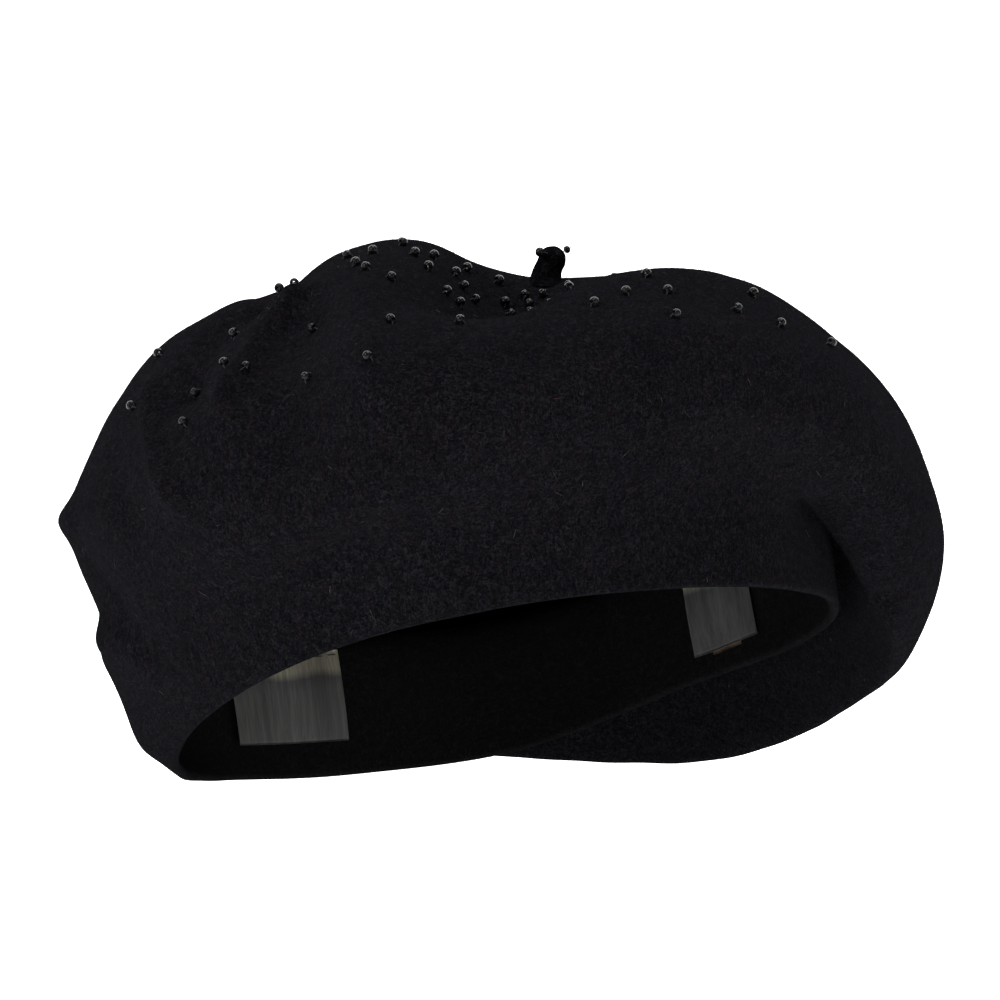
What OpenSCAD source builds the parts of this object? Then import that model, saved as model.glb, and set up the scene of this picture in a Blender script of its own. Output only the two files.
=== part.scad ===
// Slouch beret in one piece of fulled wool felt, with a beaded crown, a felt stalk and two
// satin labels inside. Millimetres. +Z is up as worn on an upright head, -Y is the taut side
// and +X the side the loose crown hangs to. The origin is the middle of the head opening.

/* [Head opening] */
// Length of the oval opening, brow to nape
opening_length = 185; // [180:1:190]
// Width of the oval opening, ear to ear
opening_width = 168; // [164:1:172]

/* [Felt] */
// Thickness of the felt
felt = 2.4; // [2:0.1:2.8]
// Depth of the folds pressed into the crown, 1 as worn
fold_depth = 1; // [0.6:0.1:1.1]

/* [Stalk] */
// Diameter of the felt stalk on top
stalk_d = 8.4; // [7.8:0.2:9]
// Height of the stalk
stalk_h = 8.8; // [8.4:0.2:10]
// Lean of the stalk towards +X, in degrees
stalk_lean = 18; // [10:1:20]

/* [Beads] */
// Outer diameter of a bead
bead_d = 2.6; // [2.2:0.1:2.8]
// Diameter of the hole through a bead
bead_hole = 0.95; // [0.8:0.05:1.1]
// Diameter of the sewing thread
thread_d = 0.4; // [0.3:0.05:0.45]

/* [Labels] */
// Width of the brand label
brand_w = 38; // [30:1:40]
// Height of the brand label
brand_h = 26; // [22:1:28]
// Width of the care label
care_w = 24; // [18:1:26]
// Height of the care label
care_h = 25; // [20:1:28]
// Thickness of a folded satin label
label_t = 0.5; // [0.4:0.1:0.7]

/* [Hidden] */
$fn = 48;

felt_color = [0.03, 0.028, 0.033];
bead_color = [0.02, 0.02, 0.022];
thread_color = [0.04, 0.04, 0.045];
satin_color = [0.25, 0.25, 0.26];

// The plane of the opening leans: up towards +X by roll, up towards -Y by pitch.
roll = 12.5;
pitch = 19;
e_long = [cos(roll), 0, sin(roll)];
e_up = [-sin(roll) * cos(pitch), sin(pitch), cos(roll) * cos(pitch)];
e_wide = cross(e_up, e_long);
len_half = opening_length / 2;
wid_half = opening_width / 2;
grow = (opening_length + opening_width) / 353;

// The drape, every 30 degrees round the head from +X by +Y. Each ring has a distance from
// the middle and a height, except that the band is measured from the edge of the opening.
edge_rise = [0, 1, 2, -3, -2, -2, -5, -1, 3, 3, 1, 0];
edge_flare = [0, 0, 0, 0, 0, 14, 34, 20, 4, 0, 0, 0];
band_h = [26, 32, 34, 36, 36, 32, 30, 22, 20, 18, 18, 18];
band_out = [3, 4, 5, 2, -5, -2, 12, 8, 9, 9, 7, 6];
under_r = [105, 110, 115, 106, 100, 101, 109, 104, 97, 88, 84, 88];
under_z = [12, -16, -37, -37, -24, -2, 18, 36, 52, 66, 68, 58];
side_r = [118, 126, 126, 117, 110, 112, 118, 109, 100, 92, 89, 100];
side_z = [42, 20, 0, -4, 8, 24, 44, 58, 72, 83, 84, 74];
top_r = [104, 111, 110, 104, 100, 101, 104, 99, 90, 80, 82, 93];
top_z = [77, 66, 54, 52, 60, 68, 76, 82, 94, 99, 101, 93];
crest_r = [75, 78, 78, 74, 72, 74, 87, 78, 63, 52, 56, 67];
crest_z = [101, 98, 92, 92, 96, 98, 95, 102, 103, 105, 109, 108];
crown_r = [42, 42, 42, 40, 38, 40, 46, 38, 28, 24, 28, 38];
crown_z = [109, 107, 105, 105, 107, 109, 111, 109, 107, 107, 110, 111];
crown_middle = [11, 12, 108];

// Folds: the felt near a line from A to B is pushed by D, fading over the width.
folds = [
    [[-33, -30, 108], [-25, 20, 112], 21, [0, 0, 8]],     // high fold over the brow
    [[-61, -10, 106], [-56, 30, 106], 8, [0, 0, -5]],     // valley in front of it
    [[6, -10, 106], [-5, -46, 98], 15, [0, 0, -12]],      // hollow beside the stalk
    [[-14, -62, 100], [12, -56, 108], 11, [0, -2, 3]],    // near lip of the hollow
    [[46, -30, 112], [62, 0, 108], 22, [0, 0, 3]],        // low fold over the nape
    [[-55, -38, 104], [-74, -71, 81], 4, [-2, -5, 3]],    // ridge running down to the brow
    [[-68, -35, 99], [-81, -49, 81], 7, [5, 4, -4]],      // valley behind that ridge
    [[-94, -36, 84], [-86, -66, 56], 4, [-3, -4, 0]],     // thin ridge nearer the brow
    [[-103, -36, 66], [-98, -50, 52], 8, [1, 3, 0]],      // dip before the thin ridge
    [[-38, -50, 105], [-34, -90, 84], 8, [0, -5, 4]],     // soft ridge on the taut side
    [[-54, -56, 102], [-55, -84, 74], 11, [0, 5, -4]],    // soft valley on the taut side
    [[-117, -12, 44], [-117, 12, 43], 5, [-3, 0, 0]],     // point of the lobe over the brow
    [[-113, -18, 34], [-101, -30, 24], 6, [1, 3, 0]],     // crease under that lobe
    [[-106, -14, 12], [-97, -28, 9], 7, [-3, -2, 0]],     // bulge of the band over the brow
    [[82, -34, 50], [97, -14, 24], 9, [-1, 8, 1]],        // opens the tuck behind the band
    [[-96, -12, -14], [-95, 12, -16], 7, [-1, 0, -2]]     // bulge just above the brow edge
];

around = 64;
per_ring = 4;
spans = 7;
step = 360 / around;
rings = spans * per_ring;

function unit(v) = v / norm(v);
function curve(a, b, c, d, f) =
    0.5 * (2 * b + (c - a) * f + (2 * a - 5 * b + 4 * c - d) * f * f
        + (3 * b - a - 3 * c + d) * f * f * f);
function at(v, a) = let (n = len(v), u = (a % 360) / 360 * n, i = floor(u), f = u - i)
    curve(v[(i + n - 1) % n], v[i % n], v[(i + 1) % n], v[(i + 2) % n], f);
function outward(a) = unit(e_long * cos(a) * wid_half + e_wide * sin(a) * len_half);
function edge(a) = e_long * cos(a) * len_half + e_wide * sin(a) * wid_half
    + e_up * at(edge_rise, a);
function hoop(r, z, a) = [at(r, a) * cos(a) * grow, at(r, a) * sin(a) * grow, at(z, a)];
function band_top(a) = edge(a) + e_up * at(band_h, a) + outward(a) * at(band_out, a);
function stations(a) = [
    2 * edge(a) - band_top(a) - outward(a) * at(edge_flare, a),
    edge(a), band_top(a), hoop(under_r, under_z, a), hoop(side_r, side_z, a),
    hoop(top_r, top_z, a), hoop(crest_r, crest_z, a), hoop(crown_r, crown_z, a),
    crown_middle, hoop(crown_r, crown_z, a + 180)];
function nearest(p, a, b) = let (d = b - a, t = max(0, min(1, (p - a) * d / (d * d)))) a + t * d;
function pushed(p, i = 0) = i == len(folds) ? [0, 0, 0] :
    let (f = folds[i], d = norm(p - nearest(p, f[0], f[1])) / f[2])
    fold_depth * exp(-d * d) * f[3] + pushed(p, i + 1);
function draped(p) = p + pushed(p);
function column(a) = let (s = stations(a)) [for (k = [0:spans - 1]) for (j = [0:per_ring - 1])
    draped(curve(s[k], s[k + 1], s[k + 2], s[k + 3], j / per_ring))];

skin = [for (i = [0:around - 1]) column(i * step)];
apex = draped(crown_middle);
function skin_at(i, j) = j >= rings ? apex : skin[(i + around) % around][j];
function skin_normal(i, j) = unit(cross(skin_at(i + 1, j) - skin_at(i - 1, j),
    skin_at(i, j + 1) - skin_at(i, max(j - 1, 0))));
apex_normal = unit(cross(skin_at(0, rings - 1) - skin_at(around / 2, rings - 1),
    skin_at(around / 4, rings - 1) - skin_at(3 * around / 4, rings - 1)));
function soft_normal(i, j) = unit(2 * skin_normal(i, j) + skin_normal(i + 1, j)
    + skin_normal(i - 1, j) + skin_normal(i, max(j - 1, 0)) + skin_normal(i, min(j + 1, rings - 1)));
function lining_at(i, j) = skin_at(i, j) - felt * soft_normal(i, j);
function brim_at(i) = (skin_at(i, 0) + lining_at(i, 0)) / 2
    + 0.4 * felt * unit(skin_at(i, 0) - skin_at(i, 1));

// One closed wall: outer skin, rounded edge, inner skin.
wall = [for (j = [rings - 1:-1:0]) [for (i = [0:around - 1]) skin_at(i, j)],
    [for (i = [0:around - 1]) brim_at(i)],
    for (j = [0:rings - 1]) [for (i = [0:around - 1]) lining_at(i, j)]];
rows = len(wall);
wall_points = [for (row = wall) each row, apex, apex - felt * apex_normal];
function id(r, i) = r * around + i % around;
wall_faces = [
    for (r = [0:rows - 2]) for (i = [0:around - 1]) each
        [[id(r, i), id(r, i + 1), id(r + 1, i + 1)], [id(r, i), id(r + 1, i + 1), id(r + 1, i)]],
    for (i = [0:around - 1]) each
        [[rows * around, id(0, i + 1), id(0, i)],
        [rows * around + 1, id(rows - 1, i), id(rows - 1, i + 1)]]];

// The two flat facets of each patch of the skin, as a corner and the two sides from it.
function facet_of(i, j, low) = let (b = skin_at(i + 1, j), d = skin_at(i, j + 1),
    o = low ? skin_at(i, j) : skin_at(i + 1, j + 1)) [o, low ? b - o : d - o, low ? d - o : b - o];

// A spot on the facets and its normal, from an angle and a ring number.
function facet(a, t) = let (
    u = a / step, v = t * per_ring, i = floor(u), j = min(floor(v), rings - 1), g = v - j,
    f = (u - i) * (j == rings - 1 ? 1 - g : 1), low = f + g <= 1, s = facet_of(i, j, low))
    [s[0] + (low ? f : 1 - f) * s[1] + (low ? g : 1 - g) * s[2], unit(cross(s[1], s[2]))];

// The beads are sewn in loose rings. Each arc of a ring has a count of beads, the angles round
// the stalk it runs between, the ring number it follows, from 0 at the edge to 7 at the stalk,
// and how far its beads stray from that.
around_stalk = [[5, 190, 330, 6.7, 0.04]];
second_ring = [[5, 190, 310, 6.54, 0.05]];
third_ring = [[6, 194, 244, 6.25, 0.1], [2, 250, 305, 6.15, 0.05], [2, 5, 155, 6.05, 0]];
fourth_ring = [[10, 190, 250, 5.72, 0.3], [3, 256, 326, 5.45, 0.25], [7, 12, 156, 5.58, 0.15]];
fifth_ring = [[6, 188, 264, 4.55, 0.3], [8, 286, 344, 4.5, 0.3], [8, 14, 160, 4.75, 0.14]];
outer_ring = [[6, 194, 250, 3.9, 0.3], [8, 4, 170, 3.98, 0.13]];
function sewn_at(arcs) = [for (r = arcs) for (k = [0:r[0] - 1])
    [r[1] + (r[2] - r[1]) * (k + 0.5 + 0.3 * sin(97 * k)) / r[0], r[3] + r[4] * sin(137.5 * k)]];

bead_half = 0.37 * bead_d;
loop_r = 0.6 * bead_d;
loop_turn = 224;
bead_turn = 67;
bead_rise = (loop_r + sqrt(loop_r * loop_r - bead_half * bead_half)) / 2;

// In a hollow a bead stands off further, so that it clears the facets round about.
function stand_off(a, t, s) = let (i = floor(a / step), j = min(floor(t * per_ring), rings - 2))
    max([for (u = [i - 2:i + 2]) for (v = [max(j - 2, 0):j + 2]) for (low = [true, false])
        let (g = facet_of(u, v, low), n = cross(g[1], g[2]), m = max(norm(n), 0.001),
            d = (s[0] - g[0]) * n / m, c = s[1] * n / m)
        d > -0.001 && d < bead_d && c > 0.3 ? (bead_d / 2 + 0.06 - d) / c - bead_rise : 0]);

// Puts the children at p with their +Z along n, spun about it.
module stand(p, n, spin = 0)
    translate(p) rotate([0, acos(n[2]), atan2(n[1], n[0])]) rotate([0, 0, spin]) children();

module one_bead()
    translate([0, 0, bead_rise]) rotate([90, 0, 0]) rotate_extrude() intersection() {
        circle(d = bead_d);
        translate([bead_hole / 2, -bead_half]) square([bead_d, 2 * bead_half]);
    }

module one_loop()
    rotate([90, 0, 90]) rotate([0, 0, (180 - loop_turn) / 2]) rotate_extrude(angle = loop_turn)
        translate([loop_r, 0]) circle(d = thread_d);

module sewn(arcs) {
    places = sewn_at(arcs);
    for (k = [0:len(places) - 1])
        let (a = places[k][0], t = places[k][1], s = facet(a, t))
            stand(s[0] + s[1] * stand_off(a, t, s), s[1], bead_turn * k) children();
}

module felt_body() color(felt_color) polyhedron(wall_points, wall_faces, convexity = 8);

// The stalk turns about the middle of its round foot.
stalk_r = stalk_d / 2;
stalk_gap = 0.9;
stalk_foot = apex + [0, 0, stalk_r + stalk_gap];
stalk_top = 0.6 * stalk_r;
stalk_in = 0.22 * stalk_r;
stalk_neck = stalk_h - stalk_r - stalk_top;
function stalk_profile() = [
    for (a = [-90:10:0]) [stalk_r * cos(a), stalk_r * sin(a)],
    for (a = [0:10:90]) [stalk_in + stalk_top * cos(a), stalk_neck + stalk_top * sin(a)],
    [0, stalk_neck + stalk_top]];
module in_stalk() translate(stalk_foot) rotate([0, stalk_lean, 0]) children();
module stalk() color(felt_color) in_stalk() rotate_extrude() polygon(stalk_profile());

// One bead sits on the shoulder of the stalk, the other stands off on its thread.
module on_shoulder(a, up) rotate([0, 0, a])
    translate([stalk_in + stalk_top * cos(up), 0, stalk_neck + stalk_top * sin(up)])
        rotate([0, 90 - up, 0]) children();
module stalk_beads() color(bead_color) in_stalk() {
    on_shoulder(240, 8) one_bead();
    on_shoulder(20, 40) translate([0, 0, 2.4]) rotate([90, 0, 0])
        translate([0, 0, -bead_rise]) one_bead();
}
module stalk_threads() color(thread_color) in_stalk() {
    on_shoulder(240, 8) one_loop();
    on_shoulder(20, 40) translate([0, 0, -1.2]) cylinder(h = 5, d = thread_d);
}

// A label hangs flat inside the band, its lower edge a little above the opening and clear of
// the wall by more than the wall bows in.
function wall_up(a) = unit(band_top(a) - edge(a));
function wall_in(a) = let (w = wall_up(a)) unit(-outward(a) + (outward(a) * w) * w);
wall_bend = 82;
function label_off(w, bow) = felt + bow + w * w / 8 / wall_bend;
module in_label(a, low, w, h, bow) {
    up = wall_up(a);
    inn = wall_in(a);
    side = cross(inn, up);
    o = edge(a) + up * (low + h) + inn * label_off(w, bow);
    multmatrix([[side[0], inn[0], up[0], o[0]], [side[1], inn[1], up[1], o[1]],
        [side[2], inn[2], up[2], o[2]]]) children();
}
brand_at = 137;
brand_low = 8.4;
brand_bow = 2.2;
care_at = 46.5;
care_low = 5;
care_bow = 3.2;
module flap(w, h) translate([-w / 2, 0, -h]) cube([w, label_t, h]);

// A row of stitches along the top of a label: a bar on the satin, two legs through it.
tack_d = 0.4;
tack_leg_d = 0.3;
tack_down = 1.6;
module tacks(w, n)
    for (k = [0:n - 1]) translate([-w / 2 + w / n * (k + 0.5), 0, -tack_down]) {
        translate([0, label_t + tack_d / 2, 0]) rotate([0, 90, 0])
            cylinder(h = 0.62 * w / n, d = tack_d, center = true);
        for (s = [-1, 1]) translate([s * 0.27 * w / n, label_t / 2, 0]) rotate([-90, 0, 0])
            cylinder(h = label_t / 2 + tack_d / 2, d = tack_leg_d);
    }

module brand_place() in_label(brand_at, brand_low, brand_w, brand_h, brand_bow) children();
module care_place() in_label(care_at, care_low, care_w, care_h, care_bow) children();
module brand_label() color(satin_color) brand_place()
    flap(brand_w, brand_h);
module brand_label_stitches() color(thread_color) brand_place()
    tacks(brand_w, 9);
module care_label() color(satin_color) care_place()
    flap(care_w, care_h);
module care_label_stitches() color(thread_color) care_place()
    tacks(care_w, 6);

module beads_around_stalk() color(bead_color) sewn(around_stalk) one_bead();
module beads_second_ring() color(bead_color) sewn(second_ring) one_bead();
module beads_third_ring() color(bead_color) sewn(third_ring) one_bead();
module beads_fourth_ring() color(bead_color) sewn(fourth_ring) one_bead();
module beads_fifth_ring() color(bead_color) sewn(fifth_ring) one_bead();
module beads_outer_ring() color(bead_color) sewn(outer_ring) one_bead();
module threads_around_stalk() color(thread_color) sewn(around_stalk) one_loop();
module threads_second_ring() color(thread_color) sewn(second_ring) one_loop();
module threads_third_ring() color(thread_color) sewn(third_ring) one_loop();
module threads_fourth_ring() color(thread_color) sewn(fourth_ring) one_loop();
module threads_fifth_ring() color(thread_color) sewn(fifth_ring) one_loop();
module threads_outer_ring() color(thread_color) sewn(outer_ring) one_loop();

felt_body();
stalk();
beads_around_stalk();
beads_second_ring();
beads_third_ring();
beads_fourth_ring();
beads_fifth_ring();
beads_outer_ring();
threads_around_stalk();
threads_second_ring();
threads_third_ring();
threads_fourth_ring();
threads_fifth_ring();
threads_outer_ring();
stalk_beads();
stalk_threads();
brand_label();
brand_label_stitches();
care_label();
care_label_stitches();
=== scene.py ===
import math

import bpy
import numpy as np
from mathutils import Matrix, Vector
from mathutils.bvhtree import BVHTree


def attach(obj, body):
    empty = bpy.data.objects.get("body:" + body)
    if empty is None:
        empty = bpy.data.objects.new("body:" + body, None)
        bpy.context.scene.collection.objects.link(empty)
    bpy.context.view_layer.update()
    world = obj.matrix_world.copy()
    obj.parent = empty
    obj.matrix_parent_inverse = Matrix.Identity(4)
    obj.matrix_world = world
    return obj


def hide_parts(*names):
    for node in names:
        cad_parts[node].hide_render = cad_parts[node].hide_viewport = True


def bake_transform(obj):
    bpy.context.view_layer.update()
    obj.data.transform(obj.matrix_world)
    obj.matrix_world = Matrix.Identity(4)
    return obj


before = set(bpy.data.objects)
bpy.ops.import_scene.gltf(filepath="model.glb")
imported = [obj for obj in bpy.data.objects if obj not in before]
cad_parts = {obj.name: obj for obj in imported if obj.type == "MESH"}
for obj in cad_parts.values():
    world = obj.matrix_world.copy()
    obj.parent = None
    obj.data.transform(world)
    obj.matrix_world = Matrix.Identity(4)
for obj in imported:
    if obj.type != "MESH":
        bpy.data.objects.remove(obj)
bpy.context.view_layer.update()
RNG = np.random.default_rng(11)

# ---------------------------------------------------------------- the drape of the felt

ROLL, PITCH = math.radians(12.5), math.radians(19)
E_LONG = np.array([math.cos(ROLL), 0, math.sin(ROLL)])
E_UP = np.array([-math.sin(ROLL) * math.cos(PITCH), math.sin(PITCH), math.cos(ROLL) * math.cos(PITCH)])
E_WIDE = np.cross(E_UP, E_LONG)
HALF_L, HALF_W = 92.5, 84.0
FELT = 2.4

EDGE_RISE = [0, 1, 2, -3, -2, -2, -5, -1, 3, 3, 1, 0]
EDGE_FLARE = [0, 0, 0, 0, 0, 14, 34, 20, 4, 0, 0, 0]
BAND_H = [26, 32, 34, 36, 36, 32, 30, 22, 20, 18, 18, 18]
BAND_OUT = [3, 4, 5, 2, -5, -2, 12, 8, 9, 9, 7, 6]
HOOPS = [
    ([105, 110, 115, 106, 100, 101, 109, 104, 97, 88, 84, 88],
     [12, -16, -37, -37, -24, -2, 18, 36, 52, 66, 68, 58]),
    ([118, 126, 126, 117, 110, 112, 118, 109, 100, 92, 89, 100],
     [42, 20, 0, -4, 8, 24, 44, 58, 72, 83, 84, 74]),
    ([104, 111, 110, 104, 100, 101, 104, 99, 90, 80, 82, 93],
     [77, 66, 54, 52, 60, 68, 76, 82, 94, 99, 101, 93]),
    ([75, 78, 78, 74, 72, 74, 87, 78, 63, 52, 56, 67],
     [101, 98, 92, 92, 96, 98, 95, 102, 103, 105, 109, 108]),
    ([42, 42, 42, 40, 38, 40, 46, 38, 28, 24, 28, 38],
     [109, 107, 105, 105, 107, 109, 111, 109, 107, 107, 110, 111]),
]
CROWN_MIDDLE = np.array([11.0, 12.0, 108.0])
# the felt near a line from one place to another is pushed, fading over a width
FOLDS = [
    ((-33, -30, 108), (-25, 20, 112), 21, (0, 0, 8)),      # high fold over the brow
    ((-61, -10, 106), (-56, 30, 106), 8, (0, 0, -5)),      # valley in front of it
    ((6, -10, 106), (-5, -46, 98), 15, (0, 0, -12)),       # hollow beside the stalk
    ((-14, -62, 100), (12, -56, 108), 11, (0, -2, 3)),     # near lip of the hollow
    ((46, -30, 112), (62, 0, 108), 22, (0, 0, 3)),         # low fold over the nape
    ((-55, -38, 104), (-74, -71, 81), 4, (-2, -5, 3)),     # ridge running down to the brow
    ((-68, -35, 99), (-81, -49, 81), 7, (5, 4, -4)),       # valley behind that ridge
    ((-94, -36, 84), (-86, -66, 56), 4, (-3, -4, 0)),      # thin ridge nearer the brow
    ((-103, -36, 66), (-98, -50, 52), 8, (1, 3, 0)),       # dip before the thin ridge
    ((-38, -50, 105), (-34, -90, 84), 8, (0, -5, 4)),      # soft ridge on the taut side
    ((-54, -56, 102), (-55, -84, 74), 11, (0, 5, -4)),     # soft valley on the taut side
    ((-117, -12, 44), (-117, 12, 43), 5, (-3, 0, 0)),      # point of the lobe over the brow
    ((-113, -18, 34), (-101, -30, 24), 6, (1, 3, 0)),      # crease under that lobe
    ((-106, -14, 12), (-97, -28, 9), 7, (-3, -2, 0)),      # bulge of the band over the brow
    ((82, -34, 50), (97, -14, 24), 9, (-1, 8, 1)),         # opens the tuck behind the band
    ((-96, -12, -14), (-95, 12, -16), 7, (-1, 0, -2)),     # bulge just above the brow edge
]


def spline(a, b, c, d, f):
    return 0.5 * (2 * b + (c - a) * f + (2 * a - 5 * b + 4 * c - d) * f**2 + (3 * b - a - 3 * c + d) * f**3)


def at(values, a):
    v = np.asarray(values, float)
    n = len(v)
    u = np.mod(a, 360) / 360 * n
    i = np.floor(u).astype(int) % n
    return spline(v[i - 1], v[i], v[(i + 1) % n], v[(i + 2) % n], u - np.floor(u))


def unit(v):
    return v / np.maximum(np.linalg.norm(v, axis=-1, keepdims=True), 1e-12)


def outward(a):
    r = np.radians(a)[..., None]
    return unit(E_LONG * np.cos(r) * HALF_W + E_WIDE * np.sin(r) * HALF_L)


def edge(a):
    r = np.radians(a)[..., None]
    return E_LONG * np.cos(r) * HALF_L + E_WIDE * np.sin(r) * HALF_W + E_UP * at(EDGE_RISE, a)[..., None]


def hoop(k, a):
    r, z = (at(x, a) for x in HOOPS[k])
    return np.stack([r * np.cos(np.radians(a)), r * np.sin(np.radians(a)), z], -1)


def band_top(a):
    return edge(a) + E_UP * at(BAND_H, a)[..., None] + outward(a) * at(BAND_OUT, a)[..., None]


def pushed(p, folds):
    moved = np.zeros_like(p)
    for start, end, width, by in folds:
        start, end = np.array(start, float), np.array(end, float)
        d = end - start
        t = np.clip(((p - start) @ d) / (d @ d), 0, 1)[..., None]
        away = np.linalg.norm(p - (start + t * d), axis=-1, keepdims=True) / width
        moved += np.exp(-away**2) * np.array(by, float)
    return moved


def draped(a, t):
    """The outside of the felt as the CAD has it, at angle a and ring number t."""
    a, t = np.broadcast_arrays(np.asarray(a, float), np.asarray(t, float))
    s = np.stack([
        2 * edge(a) - band_top(a) - outward(a) * at(EDGE_FLARE, a)[..., None],
        edge(a), band_top(a), *[hoop(k, a) for k in range(5)],
        np.broadcast_to(CROWN_MIDDLE, a.shape + (3,)), hoop(4, a + 180)])
    k = np.clip(np.floor(t), 0, 6).astype(int)
    pick = [np.take_along_axis(s, (k + n)[None, ..., None], 0)[0] for n in range(4)]
    p = spline(*pick, (t - k)[..., None])
    return p + pushed(p, FOLDS)


# Slow unevenness of hand-pulled felt, the same on every run.
WAVES = [(unit(RNG.normal(size=3)) * 2 * math.pi / RNG.uniform(13, 48), RNG.uniform(0, 6.3))
         for _ in range(14)]


def unevenness(p):
    total = np.zeros(p.shape[:-1])
    for k, phase in WAVES:
        total += np.sin(p @ k + phase) * 0.09 * (2 * math.pi / np.linalg.norm(k)) / 30
    return total


def normal_at(a, t):
    da, dt = 0.08, 0.004
    return unit(np.cross(draped(a + da, t) - draped(a - da, t), draped(a, t + dt) - draped(a, t - dt)))


def skin(a, t):
    p = draped(a, t)
    n = normal_at(a, t)
    return p + n * unevenness(p)[..., None], n


# ---------------------------------------------------------------- mesh helpers


def make(name, points_mm, faces, slot, materials, smooth=True, per_face=None):
    mesh = bpy.data.meshes.new(name)
    mesh.from_pydata((np.asarray(points_mm, float) / 1000).tolist(), [], [list(map(int, f)) for f in faces])
    mesh.polygons.foreach_set("use_smooth", [smooth] * len(mesh.polygons))
    for m in materials:
        mesh.materials.append(m)
    if per_face is not None:
        mesh.polygons.foreach_set("material_index", per_face)
    mesh.update()
    obj = bpy.data.objects.new(name, mesh)
    bpy.context.scene.collection.objects.link(obj)
    return obj


def grid_faces(rows, cols, wrap=True, first=0):
    r, c = np.meshgrid(np.arange(rows - 1), np.arange(cols if wrap else cols - 1), indexing="ij")
    d = (c + 1) % cols
    return (first + np.stack([r * cols + c, r * cols + d, (r + 1) * cols + d, (r + 1) * cols + c],
                             -1)).reshape(-1, 4)


def joined(parts):
    """Points and faces of many closed shapes as one mesh."""
    points, faces, n = [], [], 0
    for p, f in parts:
        points.append(p)
        faces.extend([[i + n for i in face] for face in f])
        n += len(p)
    return np.vstack(points), faces


def revolve(profile, around):
    """A closed ring round Y from a closed profile of (radius, along)."""
    a = np.linspace(0, 2 * math.pi, around, endpoint=False)
    r, y = np.asarray(profile, float).T
    p = np.stack([np.outer(np.cos(a), r), np.tile(y, (around, 1)), np.outer(np.sin(a), r)], -1)
    n = len(r)
    f = [[i * n + j, i * n + (j + 1) % n, (i + 1) % around * n + (j + 1) % n, (i + 1) % around * n + j]
         for i in range(around) for j in range(n)]
    return p.reshape(-1, 3), f


def tube(path, radii, sides=6, up=(0.3, 0.2, 1.0)):
    path = np.asarray(path, float)
    radii = np.broadcast_to(radii, len(path))
    tangent = unit(np.gradient(path, axis=0))
    side = unit(np.cross(tangent, np.array(up, float)))
    over = np.cross(side, tangent)
    a = np.linspace(0, 2 * math.pi, sides, endpoint=False)
    ring = side[:, None] * np.cos(a)[None, :, None] + over[:, None] * np.sin(a)[None, :, None]
    p = path[:, None] + ring * radii[:, None, None]
    faces = [list(f) for f in grid_faces(len(path), sides)]
    last = (len(path) - 1) * sides
    return p.reshape(-1, 3), faces + [list(range(sides))[::-1], [last + k for k in range(sides)]]


def stood(p, n, spin):
    """Matrix whose Z is n, at p, spun about it as the CAD spins its beads."""
    n = n / np.linalg.norm(n)
    turn = (Matrix.Rotation(math.atan2(n[1], n[0]), 3, "Z") @ Matrix.Rotation(math.acos(n[2]), 3, "Y")
            @ Matrix.Rotation(math.radians(spin), 3, "Z"))
    return np.array(turn), np.asarray(p, float)


# ---------------------------------------------------------------- materials


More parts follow.
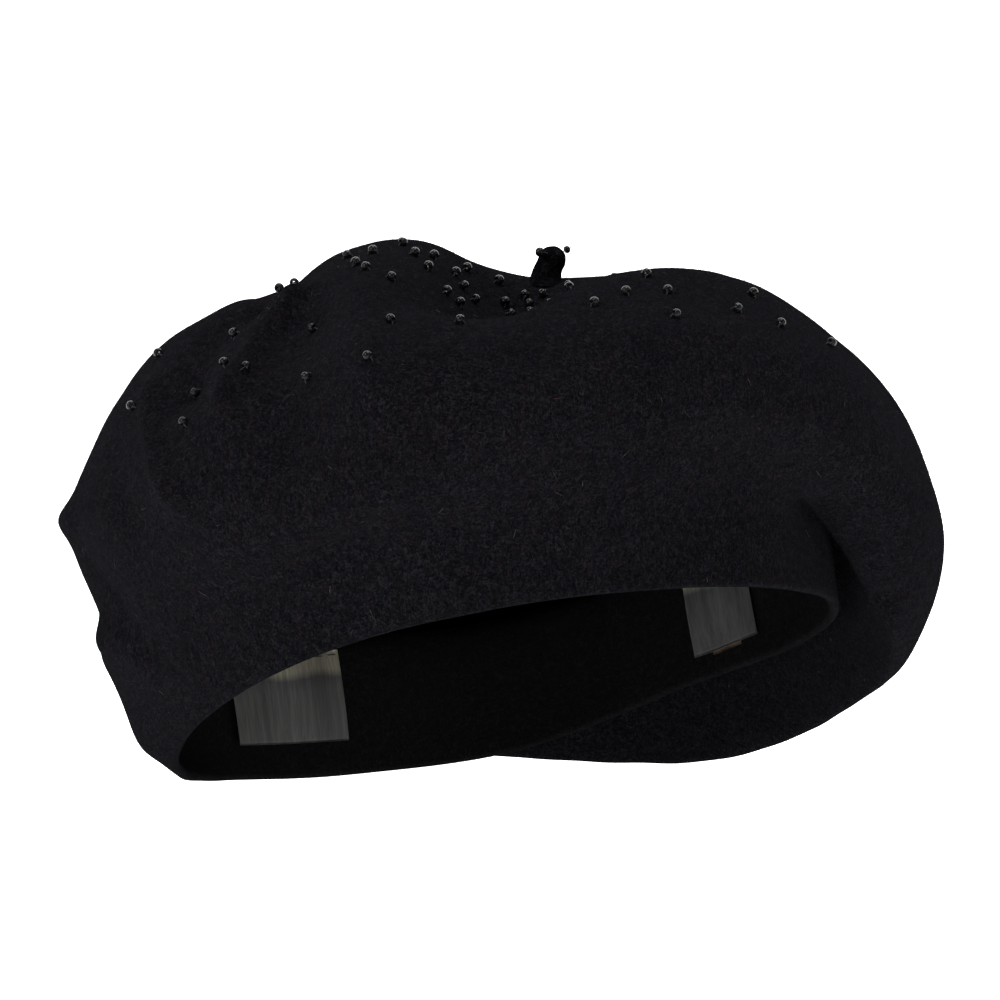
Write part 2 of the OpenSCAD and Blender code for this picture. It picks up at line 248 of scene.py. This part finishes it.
class Nodes:
    def __init__(self, name, **sockets):
        self.m = bpy.data.materials.new(name)
        self.m.use_nodes = True
        self.t = self.m.node_tree
        self.bsdf = next(n for n in self.t.nodes if n.type == "BSDF_PRINCIPLED")
        for key, value in sockets.items():
            self.bsdf.inputs[key.replace("_", " ")].default_value = value

    def add(self, kind, **values):
        n = self.t.nodes.new("ShaderNode" + kind)
        for key, value in values.items():
            setattr(n, key, value)
        return n

    def link(self, a, b):
        self.t.links.new(a, b)

    def place(self, scale=(1, 1, 1), turn=(0, 0, 0), shift=(0, 0, 0)):
        """Object coordinates in metres, scaled and turned."""
        coords, mapping = self.add("TexCoord"), self.add("Mapping")
        mapping.inputs["Scale"].default_value = scale
        mapping.inputs["Rotation"].default_value = [math.radians(x) for x in turn]
        mapping.inputs["Location"].default_value = shift
        self.link(coords.outputs["Object"], mapping.inputs["Vector"])
        return mapping.outputs["Vector"]

    def noise(self, where, scale, detail=2.0, rough=0.5, distortion=0.0):
        n = self.add("TexNoise")
        self.link(where, n.inputs["Vector"])
        n.inputs["Scale"].default_value = scale
        n.inputs["Detail"].default_value = detail
        n.inputs["Roughness"].default_value = rough
        n.inputs["Distortion"].default_value = distortion
        return n.outputs["Fac"]

    def ramp(self, fac, *stops):
        n = self.add("ValToRGB")
        while len(n.color_ramp.elements) < len(stops):
            n.color_ramp.elements.new(0.5)
        for e, (where, colour) in zip(n.color_ramp.elements, stops):
            e.position = where
            e.color = (*colour, 1) if not isinstance(colour, (int, float)) else (colour, colour, colour, 1)
        self.link(fac, n.inputs["Fac"])
        return n.outputs["Color"]

    def mix(self, fac, a, b, how="MIX"):
        n = self.add("Mix", data_type="RGBA", blend_type=how)
        for key, value in ((0, fac), (6, a), (7, b)):
            if isinstance(value, bpy.types.NodeSocket):
                self.link(value, n.inputs[key])
            else:
                n.inputs[key].default_value = value if key == 0 else (*value, 1)
        return n.outputs[2]

    def maths(self, how, a, b):
        n = self.add("Math", operation=how)
        for key, value in ((0, a), (1, b)):
            if isinstance(value, bpy.types.NodeSocket):
                self.link(value, n.inputs[key])
            else:
                n.inputs[key].default_value = value
        return n.outputs[0]

    def span(self, value, low, high):
        n = self.add("MapRange")
        self.link(value, n.inputs["Value"])
        n.inputs["To Min"].default_value, n.inputs["To Max"].default_value = low, high
        return n.outputs["Result"]

    def bump(self, height, distance, strength, base=None):
        n = self.add("Bump")
        n.inputs["Distance"].default_value = distance
        n.inputs["Strength"].default_value = strength
        self.link(height, n.inputs["Height"])
        if base is not None:
            self.link(base, n.inputs["Normal"])
        return n.outputs["Normal"]

    def colour(self, socket):
        self.link(socket, self.bsdf.inputs["Base Color"])

    def done(self, normal=None, rough=None):
        if normal is not None:
            self.link(normal, self.bsdf.inputs["Normal"])
        if rough is not None:
            self.link(rough, self.bsdf.inputs["Roughness"])
        return self.m


def felt_material(name, level, sheen, contrast=1.0):
    """Fulled wool: fine curled fibres over soft clumps, faintly violet with warmer flecks."""
    n = Nodes(name, Roughness=0.92, Sheen_Weight=sheen, Sheen_Roughness=0.5)
    n.bsdf.inputs["Specular IOR Level"].default_value = 0.0
    n.bsdf.inputs["Sheen Tint"].default_value = (0.86, 0.85, 1.0, 1)
    fibre = n.noise(n.place((1, 1, 0.4)), 1500, 3, 0.66, 1.6)
    cross = n.noise(n.place((0.4, 1, 0.8), (20, 35, 25)), 1150, 3, 0.62, 2.4)
    clump = n.noise(n.place(), 380, 3, 0.6, 0.5)
    cloud = n.noise(n.place(), 36, 3, 0.55)
    both = n.maths("ADD", n.maths("MULTIPLY", fibre, 0.55), n.maths("MULTIPLY", cross, 0.45))
    dark, mid, light = (tuple(level * (1 + contrast * (c - 1)) for c in tint)
                        for tint in ((0.14, 0.13, 0.2), (0.8, 0.78, 1.0), (3.2, 3.1, 3.7)))
    colour = n.ramp(both, (0.38, dark), (0.5, mid), (0.62, light))
    tinge = n.ramp(n.noise(n.place((1, 1, 0.7)), 330, 2, 0.6), (0.36, (0.93, 0.96, 1.14)), (0.5, (1, 1, 1)),
                   (0.64, (1.22, 0.96, 0.98)))
    colour = n.mix(0.8 * contrast, colour, tinge, "MULTIPLY")
    shade = n.span(n.maths("ADD", n.maths("MULTIPLY", clump, 0.6), n.maths("MULTIPLY", cloud, 0.4)),
                   1 - 0.65 * contrast, 1 + 0.65 * contrast)
    n.colour(n.mix(1.0, colour, shade, "MULTIPLY"))
    soft = n.bump(clump, 0.0008, 0.6)
    return n.done(n.bump(both, 0.0005, 1.0, soft), n.span(both, 0.84, 1.0))


FELT_OUT = felt_material("felt_outside", 0.0036, 0.006, contrast=0.78)
# Painted shade: the inside face is a flatter copy of the same felt, its texture and tone set to how the
# inside looks in its shade.
FELT_INSIDE_SHADE_COPY = felt_material("felt_inside_shade_copy", 0.0042, 0.0, 0.35)
FELT_STALK = felt_material("felt_stalk", 0.0026, 0.003)


def fibre_material(name, tone, warm):
    n = Nodes(name, Roughness=0.75)
    n.bsdf.inputs["Specular IOR Level"].default_value = 0.15
    n.colour(n.ramp(n.noise(n.place(), 130, 2), (0.35, tone), (0.65, warm)))
    return n.done(None, n.span(n.noise(n.place(), 900, 2), 0.6, 0.9))


NAP = fibre_material("felt_nap", (0.0028, 0.0026, 0.0034), (0.009, 0.0084, 0.0105))
LINT = fibre_material("felt_lint", (0.05, 0.018, 0.022), (0.07, 0.058, 0.056))


def bead_material():
    """Black glass whose worn surface shines only where a lamp is mirrored."""
    n = Nodes("bead_glass", Roughness=0.1, IOR=1.55)
    n.bsdf.inputs["Specular IOR Level"].default_value = 0.11
    n.colour(n.ramp(n.noise(n.place(), 240, 2), (0.3, (0.0022, 0.0022, 0.0028)),
                    (0.7, (0.006, 0.006, 0.007))))
    normal = n.bump(n.noise(n.place(), 600, 1, 0.5), 0.00006, 0.12)
    return n.done(normal, n.span(n.noise(n.place(), 1500, 2), 0.05, 0.11))


def thread_material():
    n = Nodes("sewing_thread", Roughness=0.7)
    n.bsdf.inputs["Specular IOR Level"].default_value = 0.2
    twist = n.noise(n.place((1, 1, 1), (30, 40, 0)), 4200, 2, 0.5)
    n.colour(n.ramp(twist, (0.35, (0.006, 0.006, 0.007)), (0.65, (0.02, 0.02, 0.022))))
    return n.done(n.bump(twist, 0.0001, 0.7), n.span(twist, 0.6, 0.85))


def satin_material(name, tone, axes, origin, size):
    """Long shiny floats run up the label, over soft upright bands of painted light and shade where it is
    pressed into folds.
    """
    n = Nodes(name, Roughness=0.42, Sheen_Weight=0.05, Sheen_Roughness=0.4)
    n.bsdf.inputs["Specular IOR Level"].default_value = 0.22
    turned = n.place((1, 1, 1), [math.degrees(x) for x in Matrix(axes.T.tolist()).to_euler()],
                     -axes.T @ origin / 1000)

    def along(*scale):
        mapping = n.add("Mapping")
        mapping.inputs["Scale"].default_value = scale
        n.link(turned, mapping.inputs["Vector"])
        return mapping.outputs["Vector"]

    floats = n.noise(along(1, 1, 0.04), 3000, 2, 0.6)
    streak = n.noise(along(1, 1, 0.03), 420, 2, 0.5)
    fold_light_and_shade = n.noise(along(1, 1, 0.12), 2600 / size[0], 1, 0.4)
    ground = n.noise(along(0.25, 1, 1), 3000, 1, 0.5)
    mixed = n.maths("ADD", n.maths("MULTIPLY", floats, 0.5), n.maths("MULTIPLY", streak, 0.5))
    colour = n.ramp(mixed, (0.36, tuple(0.66 * c for c in tone)), (0.5, tone),
                    (0.64, tuple(1.4 * c for c in tone)))
    # painted light and shade of the label's soft upright folds
    colour = n.mix(1.0, colour, n.ramp(fold_light_and_shade, (0.34, 0.68), (0.47, 0.95), (0.6, 1.4)), "MULTIPLY")
    # painted light: the folded top is lighter and yellower, as if lit through the thin satin, with painted
    # shade of the fold under it
    split = n.add("SeparateXYZ")
    n.link(turned, split.inputs["Vector"])
    wave = n.maths("MULTIPLY", n.maths("SUBTRACT", n.noise(along(1, 1, 0.3), 70, 1, 0.4), 0.5), 0.006)
    down = n.maths("DIVIDE", n.maths("ADD", split.outputs["Z"], wave), -0.001 * size[1])
    n.colour(n.mix(1.0, colour, n.ramp(down, (0.0, (3.2, 3.05, 2.35)), (0.2, (2.9, 2.75, 2.15)),
                                       (0.29, (0.8, 0.82, 0.88)),
                                       (0.42, (1, 1, 1))), "MULTIPLY"))
    weave = n.bump(n.maths("ADD", floats, n.maths("MULTIPLY", ground, 0.5)), 0.00008, 0.7)
    return n.done(weave, n.span(mixed, 0.34, 0.52))


BEAD = bead_material()
THREAD = thread_material()

# ---------------------------------------------------------------- the felt body

AROUND, PER_RING, LINING_STEP = 336, 30, 4
fine = np.linspace(0, 360, 7201)
crowd = np.cumsum(1 + 0.9 * np.exp(-((fine - 240) / 55) ** 2))
crowd = (crowd - crowd[0]) / (crowd[-1] - crowd[0])
angles = np.interp(np.arange(AROUND) / AROUND, crowd, fine)
rings = np.arange(7 * PER_RING) / PER_RING

outer, normals = skin(angles[None, :], rings[:, None])
apex = draped(np.array(0.0), np.array(7.0))
apex_normal = unit(normals[-1].mean(0))


def smoothed(v, times):
    for _ in range(times):
        v = v + 0.5 * (np.roll(v, 1, 1) + np.roll(v, -1, 1))
        up, down = np.vstack([v[:1], v[:-1]]), np.vstack([v[1:], v[-1:]])
        v = unit(v + 0.5 * (up + down))
    return v


soft = smoothed(normals, 14)
# The cut edge is a little swollen, and fades into the wall over its first few millimetres.
along = np.linalg.norm(np.diff(outer, axis=0), axis=2).mean(1)
depth = np.concatenate([[0], np.cumsum(along)])
swell = 0.28 * np.exp(-((depth / 3.2) ** 2))[:, None, None]
lining = (outer - FELT * soft) - swell * soft
outer = outer + swell * soft
tip = unit(outer[0] - outer[3])
middle, half = (outer[0] + lining[0]) / 2, (outer[0] - lining[0]) / 2
reach = np.linalg.norm(half, axis=1, keepdims=True)
brim = [middle + half * math.cos(f) + tip * reach * 0.85 * math.sin(f)
        for f in np.linspace(0, math.pi, 9)[1:-1]]

wall = np.concatenate([outer[::-1], np.array(brim), lining[::LINING_STEP]])
points = np.vstack([wall.reshape(-1, 3), apex[None], (apex - FELT * apex_normal)[None]])
faces = grid_faces(len(wall), AROUND)
inner_row = len(outer) + len(brim) // 2
# faces inside the brim take the inside's shade copy of the felt
faces_mat = np.where(faces[:, 0] // AROUND >= inner_row, 1, 0)
last = (len(wall) - 1) * AROUND
top, under = len(points) - 2, len(points) - 1
caps = [[top, (i + 1) % AROUND, i] for i in range(AROUND)] + \
    [[under, last + i, last + (i + 1) % AROUND] for i in range(AROUND)]
felt = make("felt", points, faces.tolist() + caps, "felt", [FELT_OUT, FELT_INSIDE_SHADE_COPY],
            per_face=np.concatenate([faces_mat, np.zeros(AROUND, int), np.ones(AROUND, int)]).tolist())
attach(felt, "beret")
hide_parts("felt_body")
felt_tree = BVHTree.FromPolygons([Vector(p) for p in points], faces.tolist() + caps)

# ---------------------------------------------------------------- nap: loose fibre ends

cell = np.linalg.norm(np.cross(outer[1:] - outer[:-1], np.roll(outer, -1, 1)[:-1] - outer[:-1]), axis=2)


def scatter(count, rng):
    share = np.cumsum(cell.ravel())
    pick = np.searchsorted(share, rng.uniform(0, share[-1], count))
    r, c = np.unravel_index(pick, cell.shape)
    f, g = rng.uniform(0, 1, (2, count, 1))
    c2 = (c + 1) % AROUND
    low = outer[r, c] * (1 - f) + outer[r, c2] * f
    high = outer[r + 1, c] * (1 - f) + outer[r + 1, c2] * f
    return low * (1 - g) + high * g, unit(normals[r, c] + normals[r + 1, c2])


def fibres(name, count, lengths, thick, lift, material, rng):
    p, n = scatter(count, rng)
    lie = rng.normal(size=(count, 3)) + np.array([0, 0, -0.5])
    lie = unit(lie - n * np.sum(lie * n, 1, keepdims=True))
    long = rng.uniform(*lengths, (count, 1))
    rise = rng.uniform(*lift, (count, 1))
    mid = p + long * (0.5 * lie + rise * n)
    end = p + long * (0.95 * lie * rng.uniform(0.5, 1, (count, 1))
                      + n * rise * rng.uniform(0.5, 1.7, (count, 1)))
    side = unit(np.cross(end - p, n))
    over = unit(np.cross(side, end - p))
    base = p - 0.25 * n
    spokes = [side, -0.5 * side + 0.87 * over, -0.5 * side - 0.87 * over]
    width = thick * rng.uniform(0.7, 1.3, (count, 1))
    rows = [base + s * width for s in spokes] + [mid + s * width * 0.75 for s in spokes] + [end]
    pts = np.stack(rows, 1).reshape(-1, 3)
    shape = [[0, 2, 1], [0, 1, 4], [0, 4, 3], [1, 2, 5], [1, 5, 4], [2, 0, 3], [2, 3, 5],
             [3, 4, 6], [4, 5, 6], [5, 3, 6]]
    f = (np.arange(count)[:, None, None] * 7 + np.array(shape)[None]).reshape(-1, 3)
    obj = make(name, pts, f, "felt", [material])
    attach(obj, "beret")
    return obj


fibres("felt_nap", 17000, (0.9, 2.2), 0.032, (0.12, 0.55), NAP, np.random.default_rng(3))
fibres("felt_lint", 260, (2.0, 5.0), 0.045, (0.04, 0.16), LINT, np.random.default_rng(5))

# ---------------------------------------------------------------- beads and their threads

# every arc of a ring: beads, angles from and to, the ring number it follows, and their stray
SEWN = {
    "around_stalk": [(5, 190, 330, 6.7, 0.04)],
    "second_ring": [(5, 190, 310, 6.54, 0.05)],
    "third_ring": [(6, 194, 244, 6.25, 0.1), (2, 250, 305, 6.15, 0.05), (2, 5, 155, 6.05, 0)],
    "fourth_ring": [(10, 190, 250, 5.72, 0.3), (3, 256, 326, 5.45, 0.25), (7, 12, 156, 5.58, 0.15)],
    "fifth_ring": [(6, 188, 264, 4.55, 0.3), (8, 286, 344, 4.5, 0.3), (8, 14, 160, 4.75, 0.14)],
    "outer_ring": [(6, 194, 250, 3.9, 0.3), (8, 4, 170, 3.98, 0.13)],
}
BEAD_D, HOLE_D, BEAD_TURN = 2.6, 0.95, 67


def bead_shape(size=1.0):
    """A seed bead: a ball with a hole, whose ends are ground flat and rounded off."""
    half_long, hole, corner = 0.96, HOLE_D / 2, 0.16
    across = np.radians(np.linspace(-44, 44, 13))
    outside = [(BEAD_D / 2 * math.cos(v), BEAD_D / 2 * math.sin(v)) for v in across]
    profile = np.array([*outside, (0.80, half_long), (hole + corner, half_long), (hole, half_long - corner),
                        (hole, corner - half_long), (hole + corner, -half_long), (0.80, -half_long)])
    p, f = revolve(profile * size, 28)
    return p, f


def loop_shape(height):
    """Thread through the bead's hole, its two legs going down into the felt."""
    a = np.radians(np.linspace(-24, 204, 17))
    r = 1.5
    path = np.stack([np.zeros_like(a), r * np.cos(a), height - 1.42 + r * np.sin(a)], 1)
    return tube(path, 0.17, 6, (1, 0, 0))


def sewn_at(arcs):
    """Angle and ring number of every bead of a ring, spaced and strayed as the CAD does it."""
    spots = []
    for count, start, end, line, stray in arcs:
        for k in range(count):
            share = (k + 0.5 + 0.3 * math.sin(math.radians(97 * k))) / count
            spots.append((start + (end - start) * share, line + stray * math.sin(math.radians(137.5 * k))))
    return spots


for ring, arcs in SEWN.items():
    places = sewn_at(arcs)
    a, t = np.array(places, float).T
    foot, out = skin(a, t)
    beads, loops = [], []
    for k in range(len(places)):
        turn, where = stood(foot[k], out[k], BEAD_TURN * k)
        size = RNG.uniform(0.95, 1.03)
        # in a hollow the bead stands off until it clears the felt round about
        height = 1.0 * size
        for _ in range(30):
            centre = where + turn @ np.array([0, 0, height])
            if felt_tree.find_nearest(Vector(centre))[3] >= 0.95 * size:
                break
            height += 0.05
        p, f = bead_shape(size)
        tilt = np.array(Matrix.Rotation(math.radians(RNG.uniform(-7, 7)), 3, "X"))
        beads.append(((p @ tilt.T + [0, 0, height]) @ turn.T + where, f))
        p, f = loop_shape(height)
        loops.append((p @ turn.T + where, f))
    for name, parts, material, slot in (("beads_", beads, BEAD, "beads"),
                                        ("threads_", loops, THREAD, "thread")):
        obj = make("sewn_" + name + ring, *joined(parts), slot, [material])
        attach(obj, "beret")
        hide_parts(name + ring)

# ---------------------------------------------------------------- the stalk

STALK_R, STALK_H, STALK_GAP, STALK_LEAN = 4.2, 8.8, 0.9, 18
STALK_IN, STALK_TOP = 0.22 * STALK_R, 0.6 * STALK_R
STALK_NECK = STALK_H - STALK_R - STALK_TOP
FOOT = apex + np.array([0, 0, STALK_R + STALK_GAP])
LEAN = np.array(Matrix.Rotation(math.radians(STALK_LEAN), 3, "Y"))
s = np.array([-0.9, -0.2, 0.5, 1.2, 2.2, 3.6, 5.0, 6.2, 7.2, 8.0, 8.7, 9.2, 9.5, 9.68])
r = np.array([5.6, 4.95, 4.45, 4.2, 4.08, 3.98, 3.86, 3.7, 3.5, 3.18, 2.62, 1.9, 1.15, 0.4])
fine_s = np.concatenate([np.linspace(-0.9, 8, 26), np.linspace(8.15, 9.68, 12)])
fine_r = np.interp(fine_s, s, r)
for _ in range(2):
    fine_r[1:-1] = (fine_r[:-2] + 2 * fine_r[1:-1] + fine_r[2:]) / 4
turns = np.linspace(0, 2 * math.pi, 48, endpoint=False)
nub = []
for h, radius in zip(fine_s, fine_r):
    lean = max(h - 1.0, 0) * math.tan(math.radians(STALK_LEAN)) * min(1, h / 5)
    lumps = 1 + 0.03 * np.sin(3 * turns + 0.5 * h) + 0.02 * np.sin(5 * turns - 0.9 * h + 1)
    nub.append(np.stack([apex[0] + lean + radius * lumps * np.cos(turns),
                         apex[1] + radius * lumps * np.sin(turns),
                         np.full(48, apex[2] + h) - (radius * np.cos(turns) * math.tan(math.radians(14))
                                                     * np.clip((h - 2) / 7, 0, 1))], 1))
nub = np.array(nub)
pts = np.vstack([nub.reshape(-1, 3), nub[-1].mean(0)[None] + [0, 0, 0.05], nub[0].mean(0)[None]])
n_rows = len(nub)
f = grid_faces(n_rows, 48).tolist() + [[(n_rows - 1) * 48 + i, (n_rows - 1) * 48 + (i + 1) % 48, n_rows * 48]
                                       for i in range(48)] \
    + [[(i + 1) % 48, i, n_rows * 48 + 1] for i in range(48)]
stalk = make("felt_stalk", pts, f, "felt", [FELT_STALK])
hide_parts("stalk")
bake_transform(stalk)


def on_shoulder(a, up):
    """A spot on the stalk's shoulder and the way out of it."""
    ca, sa = math.cos(math.radians(a)), math.sin(math.radians(a))
    cu, su = math.cos(math.radians(up)), math.sin(math.radians(up))
    reach = STALK_IN + STALK_TOP * cu
    p = np.array([reach * ca, reach * sa, STALK_NECK + STALK_TOP * su])
    return FOOT + LEAN @ p, LEAN @ np.array([cu * ca, cu * sa, su])


near, near_out = on_shoulder(240, 8)
far, far_out = on_shoulder(20, 40)
turn, where = stood(near + near_out * 0.3, near_out, 0)
p, f = bead_shape(1.0)
parts = [((p + [0, 0, 1.36]) @ turn.T + where, f)]
lp, lf = loop_shape(1.36)
legs = [(lp @ turn.T + where, lf)]
turn, where = stood(far, far_out, 0)
p, f = bead_shape(0.8)
parts.append(((p[:, [0, 2, 1]] * [1, -1, 1] + [0, 0, 2.4]) @ turn.T + where, f))
path = np.stack([0.06 * np.sin(np.linspace(0, 5, 12)), np.zeros(12), np.linspace(-1.4, 3.7, 12)], 1)
lp, lf = tube(path, 0.15, 6, (1, 0, 0))
legs.append((lp @ turn.T + where, lf))
for name, shapes, material, slot in (("stalk_beads", parts, BEAD, "beads"),
                                     ("stalk_threads", legs, THREAD, "thread")):
    obj = make("sewn_" + name, *joined(shapes), slot, [material])
    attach(obj, "stalk")
    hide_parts(name)

# ---------------------------------------------------------------- the labels


def label(name, angle, low, width, height, bow, thick, tone, stitches, seed):
    a = np.array(float(angle))
    up = unit(band_top(a) - edge(a))
    out = outward(a)
    inn = unit(-out + (out @ up) * up)
    side = np.cross(inn, up)
    origin = edge(a) + up * (low + height) + inn * (FELT + bow + width * width / 8 / 82)
    axes = np.stack([side, inn, up], 1)
    # where the wall is behind the label, as a smooth shallow surface
    xs, zs = np.meshgrid(np.linspace(-width / 2, width / 2, 13), np.linspace(-height, 0, 9), indexing="ij")
    wall_y = []
    for x, z in zip(xs.ravel(), zs.ravel()):
        start = origin + axes @ np.array([x, 9.0, z])
        hit = felt_tree.ray_cast(Vector(start), Vector(-inn), 30)[3]
        wall_y.append(9.0 - hit if hit is not None else 0.0)
    x, z, y = xs.ravel(), zs.ravel(), np.array(wall_y)
    terms = lambda x, z: np.stack([np.ones_like(x), x, z, x * x, x * z, z * z, x * x * z], -1)  # noqa: E731
    fit = np.linalg.lstsq(terms(x, z), y, rcond=None)[0]
    clear = max(0.0, float((y - terms(x, z) @ fit).max()))
    rng = np.random.default_rng(seed)
    ph = rng.uniform(0, 6.3, 3)

    def back(x, z, off=0.0):
        """Height of the label's back over its CAD plane: close at the top, freer at the lower edge."""
        free = np.clip(-z / height, 0, 1)
        ripple = 0.16 * free * np.sin(x * 2 * math.pi / (width * 0.8) + ph[0]) + \
            0.1 * free**2 * np.sin(x * 2 * math.pi / (width * 0.37) + ph[1])
        return terms(x, z) @ fit + clear + 0.3 + 0.75 * free**1.4 + ripple + off

    def slab(w, h, x0, off, t, nx, nz):
        """A thin closed sheet whose edges are rounded by folding over."""
        gx, gz = np.meshgrid(np.linspace(-w / 2, w / 2, nx) + x0, np.linspace(0, -h, nz), indexing="ij")
        fold = np.minimum(np.minimum(w / 2 - np.abs(gx - x0), h + gz) / 0.25, 1)
        yb = back(gx, gz, off)
        thin = t * (0.35 + 0.65 * np.sqrt(np.clip(fold, 0, 1)))
        front = np.stack([gx, yb + t / 2 + thin / 2, gz], -1).reshape(-1, 3)
        rear = np.stack([gx, yb + t / 2 - thin / 2, gz], -1).reshape(-1, 3)
        q = grid_faces(nx, nz, wrap=False)
        n = nx * nz
        loop = [i * nz for i in range(nx)] + [(nx - 1) * nz + j for j in range(1, nz)] + \
            [i * nz + nz - 1 for i in range(nx - 2, -1, -1)] + list(range(nz - 2, 0, -1))
        rim = [[loop[k], loop[(k + 1) % len(loop)], loop[(k + 1) % len(loop)] + n, loop[k] + n]
               for k in range(len(loop))]
        return np.vstack([front, rear]), q[:, ::-1].tolist() + (q + n).tolist() + rim

    def to_frame(p):
        return p @ axes.T + origin

    p, f = slab(width, height, 0, 0, thick, 61, 41)
    sheet = make(name + "_satin", to_frame(p), f, "satin",
                 [satin_material(name + "_satin", tone, axes, origin, (width, height))])
    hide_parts(name)
    rows = []
    for k in range(stitches):
        mid = -width / 2 + width / stitches * (k + 0.5)
        half = 0.31 * width / stitches
        x = mid + np.linspace(-half, half, 13)
        z = -1.6 + 0.1 * rng.normal() + np.linspace(-0.06, 0.06, 13) * rng.normal()
        drop = np.abs(np.linspace(-1, 1, 13)) ** 6
        y = back(x, z) + thick + 0.12 - drop * 0.5
        rows.append(tube(np.stack([x, y, z], 1), 0.17, 6, (0, 0.2, 1)))
    p, f = joined(rows)
    thread = make(name + "_stitching", to_frame(p), f, "thread", [THREAD])
    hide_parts(name + "_stitches")
    hinge = origin
    start, end = hinge - up * 0.2, hinge - up * 5.5
    for obj in (sheet, thread):
        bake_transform(obj)
    return sheet, thread, slab, to_frame, (axes, origin), (start, end)


# Painted shade: the labels' tones are pale satin darkened to the grey they show in the shade inside the hat.
brand, brand_thread, *_ = label("brand_label", 137, 8.4, 38, 26, 2.2, 0.45, (0.033, 0.0325, 0.0315), 9, 21)
care, care_thread, slab, to_frame, care_axes, (c_start, c_end) = label(
    "care_label", 46.5, 5, 24, 25, 3.2, 0.45, (0.033, 0.033, 0.0325), 6, 22)
# The care label's narrow rear leaf shows just below it.
p, f = slab(11.0, 25.8, 0.5, -0.32, 0.24, 21, 41)
leaf = make("care_label_leaf", to_frame(p), f, "satin",
            [satin_material("care_label_leaf", (0.05, 0.031, 0.021), *care_axes, (9, 60))])
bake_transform(leaf)

# ---------------------------------------------------------------- floor, light and camera

lowest = float(points[:, 2].min()) / 1000
# the sweep rises well behind the hat, so that a camera straight behind it stands in front of the wall
BEND = 2.25
sweep = [(-7.5, 0.0), (BEND, 0.0)] + [(BEND + BEND * math.sin(a), BEND - BEND * math.cos(a))
                                      for a in np.linspace(0.12, math.pi / 2, 14)] + [(2 * BEND, 10.0)]
ground = bpy.data.meshes.new("floor")
ground.from_pydata([(x, y, z + lowest - 0.0006) for y, z in sweep for x in (-10.0, 10.0)], [],
                   [(2 * i, 2 * i + 1, 2 * i + 3, 2 * i + 2) for i in range(len(sweep) - 1)])
ground.polygons.foreach_set("use_smooth", [True] * len(ground.polygons))
n = Nodes("pale_floor", Roughness=0.8)
n.bsdf.inputs["Specular IOR Level"].default_value = 0.1
n.colour(n.ramp(n.noise(n.place(), 6, 2), (0.3, (0.90, 0.90, 0.90)), (0.7, (0.93, 0.93, 0.93))))
n.bsdf.inputs["Emission Color"].default_value = (1, 1, 1, 1)
n.bsdf.inputs["Emission Strength"].default_value = 1.3
ground.materials.append(n.done())
floor = bpy.data.objects.new("floor", ground)
bpy.context.scene.collection.objects.link(floor)


def softbox(name, where, aim, size, watts):
    data = bpy.data.lights.new(name, "AREA")
    data.shape, data.size, data.size_y, data.energy = "RECTANGLE", size[0], size[1], watts
    obj = bpy.data.objects.new(name, data)
    obj.location = where
    obj.rotation_mode = "QUATERNION"
    obj.rotation_quaternion = (Vector(aim) - Vector(where)).to_track_quat("-Z", "Y")
    bpy.context.scene.collection.objects.link(obj)
    return obj


softbox("softbox_left", (-0.95, -0.85, 0.85), (0, 0, 0.05), (0.5, 0.6), 16)
softbox("softbox_top", (0.15, -0.1, 1.5), (0, 0, 0.0), (0.7, 0.5), 21)
softbox("softbox_right", (1.2, -0.8, 0.5), (0, 0, 0.05), (0.4, 0.7), 4)

world = bpy.data.worlds.new("studio")
world.use_nodes = True
world.node_tree.nodes["Background"].inputs["Color"].default_value = (1, 1, 1, 1)
world.node_tree.nodes["Background"].inputs["Strength"].default_value = 0.14
scene = bpy.context.scene
scene.world = world
scene.view_settings.view_transform = "Standard"

camera = bpy.data.objects.new("camera", bpy.data.cameras.new("camera"))
scene.collection.objects.link(camera)
camera.data.sensor_width, camera.data.lens = 36, 200
camera.data.clip_end = 50
VIEW_RISE, VIEW_DISTANCE = math.radians(6), 1.5
back_dir = Vector((0, -math.cos(VIEW_RISE), math.sin(VIEW_RISE)))
target = Vector((-0.00135, 0, 0.049))
camera.location = target + back_dir * VIEW_DISTANCE
camera.rotation_mode = "QUATERNION"
camera.rotation_quaternion = (-back_dir).to_track_quat("-Z", "Y")
scene.camera = camera
